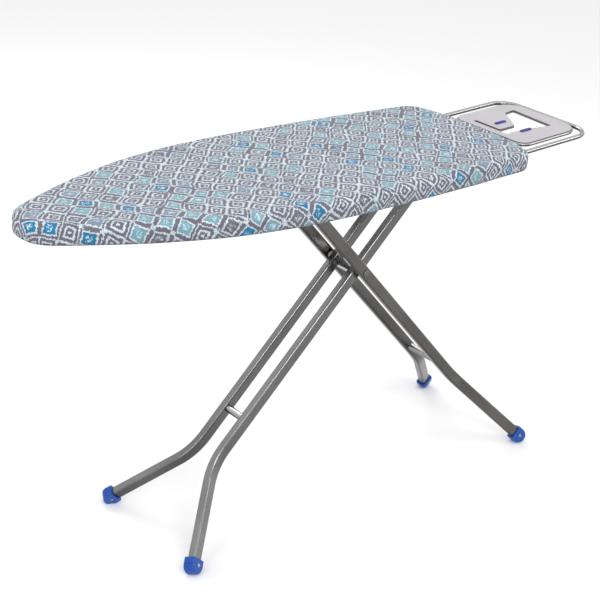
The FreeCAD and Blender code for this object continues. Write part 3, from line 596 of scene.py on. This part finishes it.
# ---------------------------------------------------------------- cover
COVER_POINTS = 720
COVER_TOP_RADIUS = 16 * MM
COVER_BOTTOM_RADIUS = 8 * MM
COVER_HEM = 26 * MM
CLOTH_THICKNESS = 1.2 * MM
SWAY_HEIGHT = 0.5 * MM
GATHER_IN = 0.8 * MM
GATHER_UP = 1.4 * MM
DIMPLE_HEIGHT = 0.35 * MM
TOP_SINK = 0.2 * MM
EDGE_STEPS = 7
SIDE_RINGS = 3
TOP_RINGS = 16


def cover_profile(low, high):
    """The cover's section from the hem up to the flat top, as pairs of inset and height."""
    profile = [(COVER_HEM, low + 1.0 * MM), (COVER_HEM - 4 * MM, low + 0.4 * MM),
               (COVER_HEM - 9 * MM, low), (13 * MM, low), (10 * MM, low)]
    for i in range(EDGE_STEPS):
        angle = math.radians(90 * i / (EDGE_STEPS - 1))
        profile.append((COVER_BOTTOM_RADIUS * (1 - math.sin(angle)),
                        low + COVER_BOTTOM_RADIUS * (1 - math.cos(angle))))
    for i in range(1, SIDE_RINGS + 1):
        share = i / (SIDE_RINGS + 1)
        profile.append((0.0, low + COVER_BOTTOM_RADIUS
                        + (high - low - COVER_BOTTOM_RADIUS - COVER_TOP_RADIUS) * share))
    for i in range(EDGE_STEPS + 2):
        angle = math.radians(90 * i / (EDGE_STEPS + 1))
        profile.append((COVER_TOP_RADIUS * (1 - math.cos(angle)),
                        high - COVER_TOP_RADIUS + COVER_TOP_RADIUS * math.sin(angle)))
    return np.array(profile)


def draw_waves(rng, how_many, turns, least):
    """Waves round the edge, each with how often it turns, where it starts and its height."""
    return [(rng.randint(*turns), rng.uniform(0, 6.28), rng.uniform(least, 1.0))
            for _ in range(how_many)]


def add_waves(waves, turn):
    return sum(w * np.sin(n * turn + p) for n, p, w in waves) / 3


def make_cover():
    """The sewn cover: a taut top, a bullnose side and a gathered hem under the rim."""
    count = COVER_POINTS
    points, normal = board_outline(count)
    low, high = cover_low.z, cover_high.z
    profile = cover_profile(low, high)
    lengths = np.linalg.norm(np.diff(profile, axis=0), axis=1)
    from_top = np.concatenate([np.cumsum(lengths[::-1])[::-1], [0]])

    rng = random.Random(4)
    waves = draw_waves(rng, 9, (50, 110), 0.4)
    slow = draw_waves(rng, 5, (5, 18), 0.5)
    turn = np.arange(count) / count * 2 * math.pi
    gather, sway = add_waves(waves, turn), add_waves(slow, turn)

    edge = points - normal * COVER_TOP_RADIUS
    vertices = []
    prints = []
    ring_count = len(profile)
    for k, (inset, z) in enumerate(profile):
        below = z < low + COVER_BOTTOM_RADIUS
        under = min(max((inset - 4 * MM) / COVER_HEM, 0), 1) if below else 0
        soft = SWAY_HEIGHT * sway * (1 if inset < COVER_TOP_RADIUS / 2 else 0.3)
        shift = inset - soft + under * GATHER_IN * gather
        rise = under * GATHER_UP * (gather + 0.6)
        for i in range(count):
            x, y = points[i] - normal[i] * shift[i]
            vertices.append((x, y, z + (rise[i] if under else 0)))
            prints.append(edge[i] + normal[i] * (from_top[k] if k < ring_count - 1 else 0))
    # From the bullnose inwards the rings shrink onto a line down the board's middle.
    spine = spine_points(edge)
    for k in range(1, TOP_RINGS + 1):
        share = k / TOP_RINGS
        share = 1 - (1 - share) ** 1.15
        ring = edge * (1 - share) + spine * share
        for x, y in ring:
            dimple = DIMPLE_HEIGHT * math.sin(17 * x + 3 * y) * math.sin(23 * y - 9 * x + 1)
            vertices.append((x, y, high + dimple - TOP_SINK))
            prints.append(np.array((x, y)))
    cover = mesh_object("cover", vertices, ring_faces(ring_count + TOP_RINGS, count))
    layer = cover.data.uv_layers.new(name="print")
    for loop in cover.data.loops:
        layer.data[loop.index].uv = prints[loop.vertex_index]
    weld_and_turn(cover)
    solidify = cover.modifiers.new("thickness", "SOLIDIFY")
    solidify.thickness = CLOTH_THICKNESS
    solidify.offset = -1
    apply_modifiers(cover)
    cover.data.materials.append(printed_cotton())
    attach(cover, "board")
    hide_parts("fabric_cover")
    return cover


def apply_modifiers(obj):
    mesh = bpy.data.meshes.new_from_object(
        obj.evaluated_get(bpy.context.evaluated_depsgraph_get()))
    obj.modifiers.clear()
    obj.data = mesh


# ---------------------------------------------------------------- finishes on CAD pieces
def finish_cad(material, *names):
    for name in names:
        mesh = nodes[name].data
        mesh.materials.clear()
        mesh.materials.append(material)


def finish_all_cad():
    # The legs are one steel: the outer legs' darker colour is painted shade and the inner legs'
    # lighter one painted light, from how their faces turn to the lamps.
    outer_steel_shaded = metal("outer_leg_steel_shaded", (0.30, 0.29, 0.275), roughness=0.22, smear=0.12,
                        scratch=0.02, depth=0.45)
    inner_steel_lit = metal("inner_leg_steel_lit", (0.37, 0.37, 0.365), roughness=0.21, smear=0.10,
                        scratch=0.02, depth=0.40)
    bright = metal("bright_steel", (0.66, 0.66, 0.67), roughness=0.18, smear=0.08, scratch=0.05)
    rest_chrome = metal("rest_polish", (0.62, 0.61, 0.61), roughness=0.20, smear=0.08,
                        scratch=0.04, depth=0.20, shades=ROD_SHADES)
    zinc = metal("zinc_plate", (0.45, 0.46, 0.47), roughness=0.34, smear=0.16)
    finish_cad(outer_steel_shaded, "outer_tube_left", "outer_tube_right")
    finish_cad(inner_steel_lit, "inner_tube_left", "inner_tube_right", "pivot_rivet_left",
               "pivot_rivet_right")
    finish_cad(bright, "inner_crossbar", "outer_crossbar", "pivot_cross_tube",
               "inner_foot_rivets", "outer_foot_rivets")
    finish_cad(rest_chrome, "rest_outer_loop", "rest_inner_loop", "rest_support", "rest_welds")
    finish_cad(zinc, "leg_hinge_bracket", "slide_guide_left", "slide_guide_right",
               "rod_hanger_1", "rod_hanger_2", "rod_hanger_3", "latch_rod", "latch_rack",
               "slide_ear_left", "slide_ear_right", "rest_clamp_left", "rest_clamp_right",
               "slide_bar", "hinge_axle", "hinge_nuts", "bracket_rivets", "ear_rivets",
               "rest_clamp_screws", "latch_spring")
    finish_cad(paint("pale_coat", (0.62, 0.63, 0.65)), "cross_brace_front", "cross_brace_rear",
               *[n for n in nodes if n.startswith("rim_")])
    finish_cad(satin_plate(), "rest_plate")
    finish_cad(plastic("blue_silicone", (0.010, 0.025, 0.26), 0.5), "rest_strip_far",
               "rest_strip_near")
    finish_cad(plastic("blue_plastic", (0.0, 0.068, 0.38), 0.36), "inner_foot_left",
               "inner_foot_right", "outer_foot_left", "outer_foot_right")
    finish_cad(plastic("white_nylon", (0.72, 0.72, 0.69), 0.45), "slide_glide_left",
               "slide_glide_right", "pivot_washers", "guide_end_caps")
    finish_cad(plastic("dark_plastic", (0.03, 0.03, 0.035), 0.4), "latch_paddle")
    finish_cad(expanded_mesh(), "deck_panel")


make_camera()
make_stage()
finish_all_cad()
foam = make_foam()
cover = make_cover()
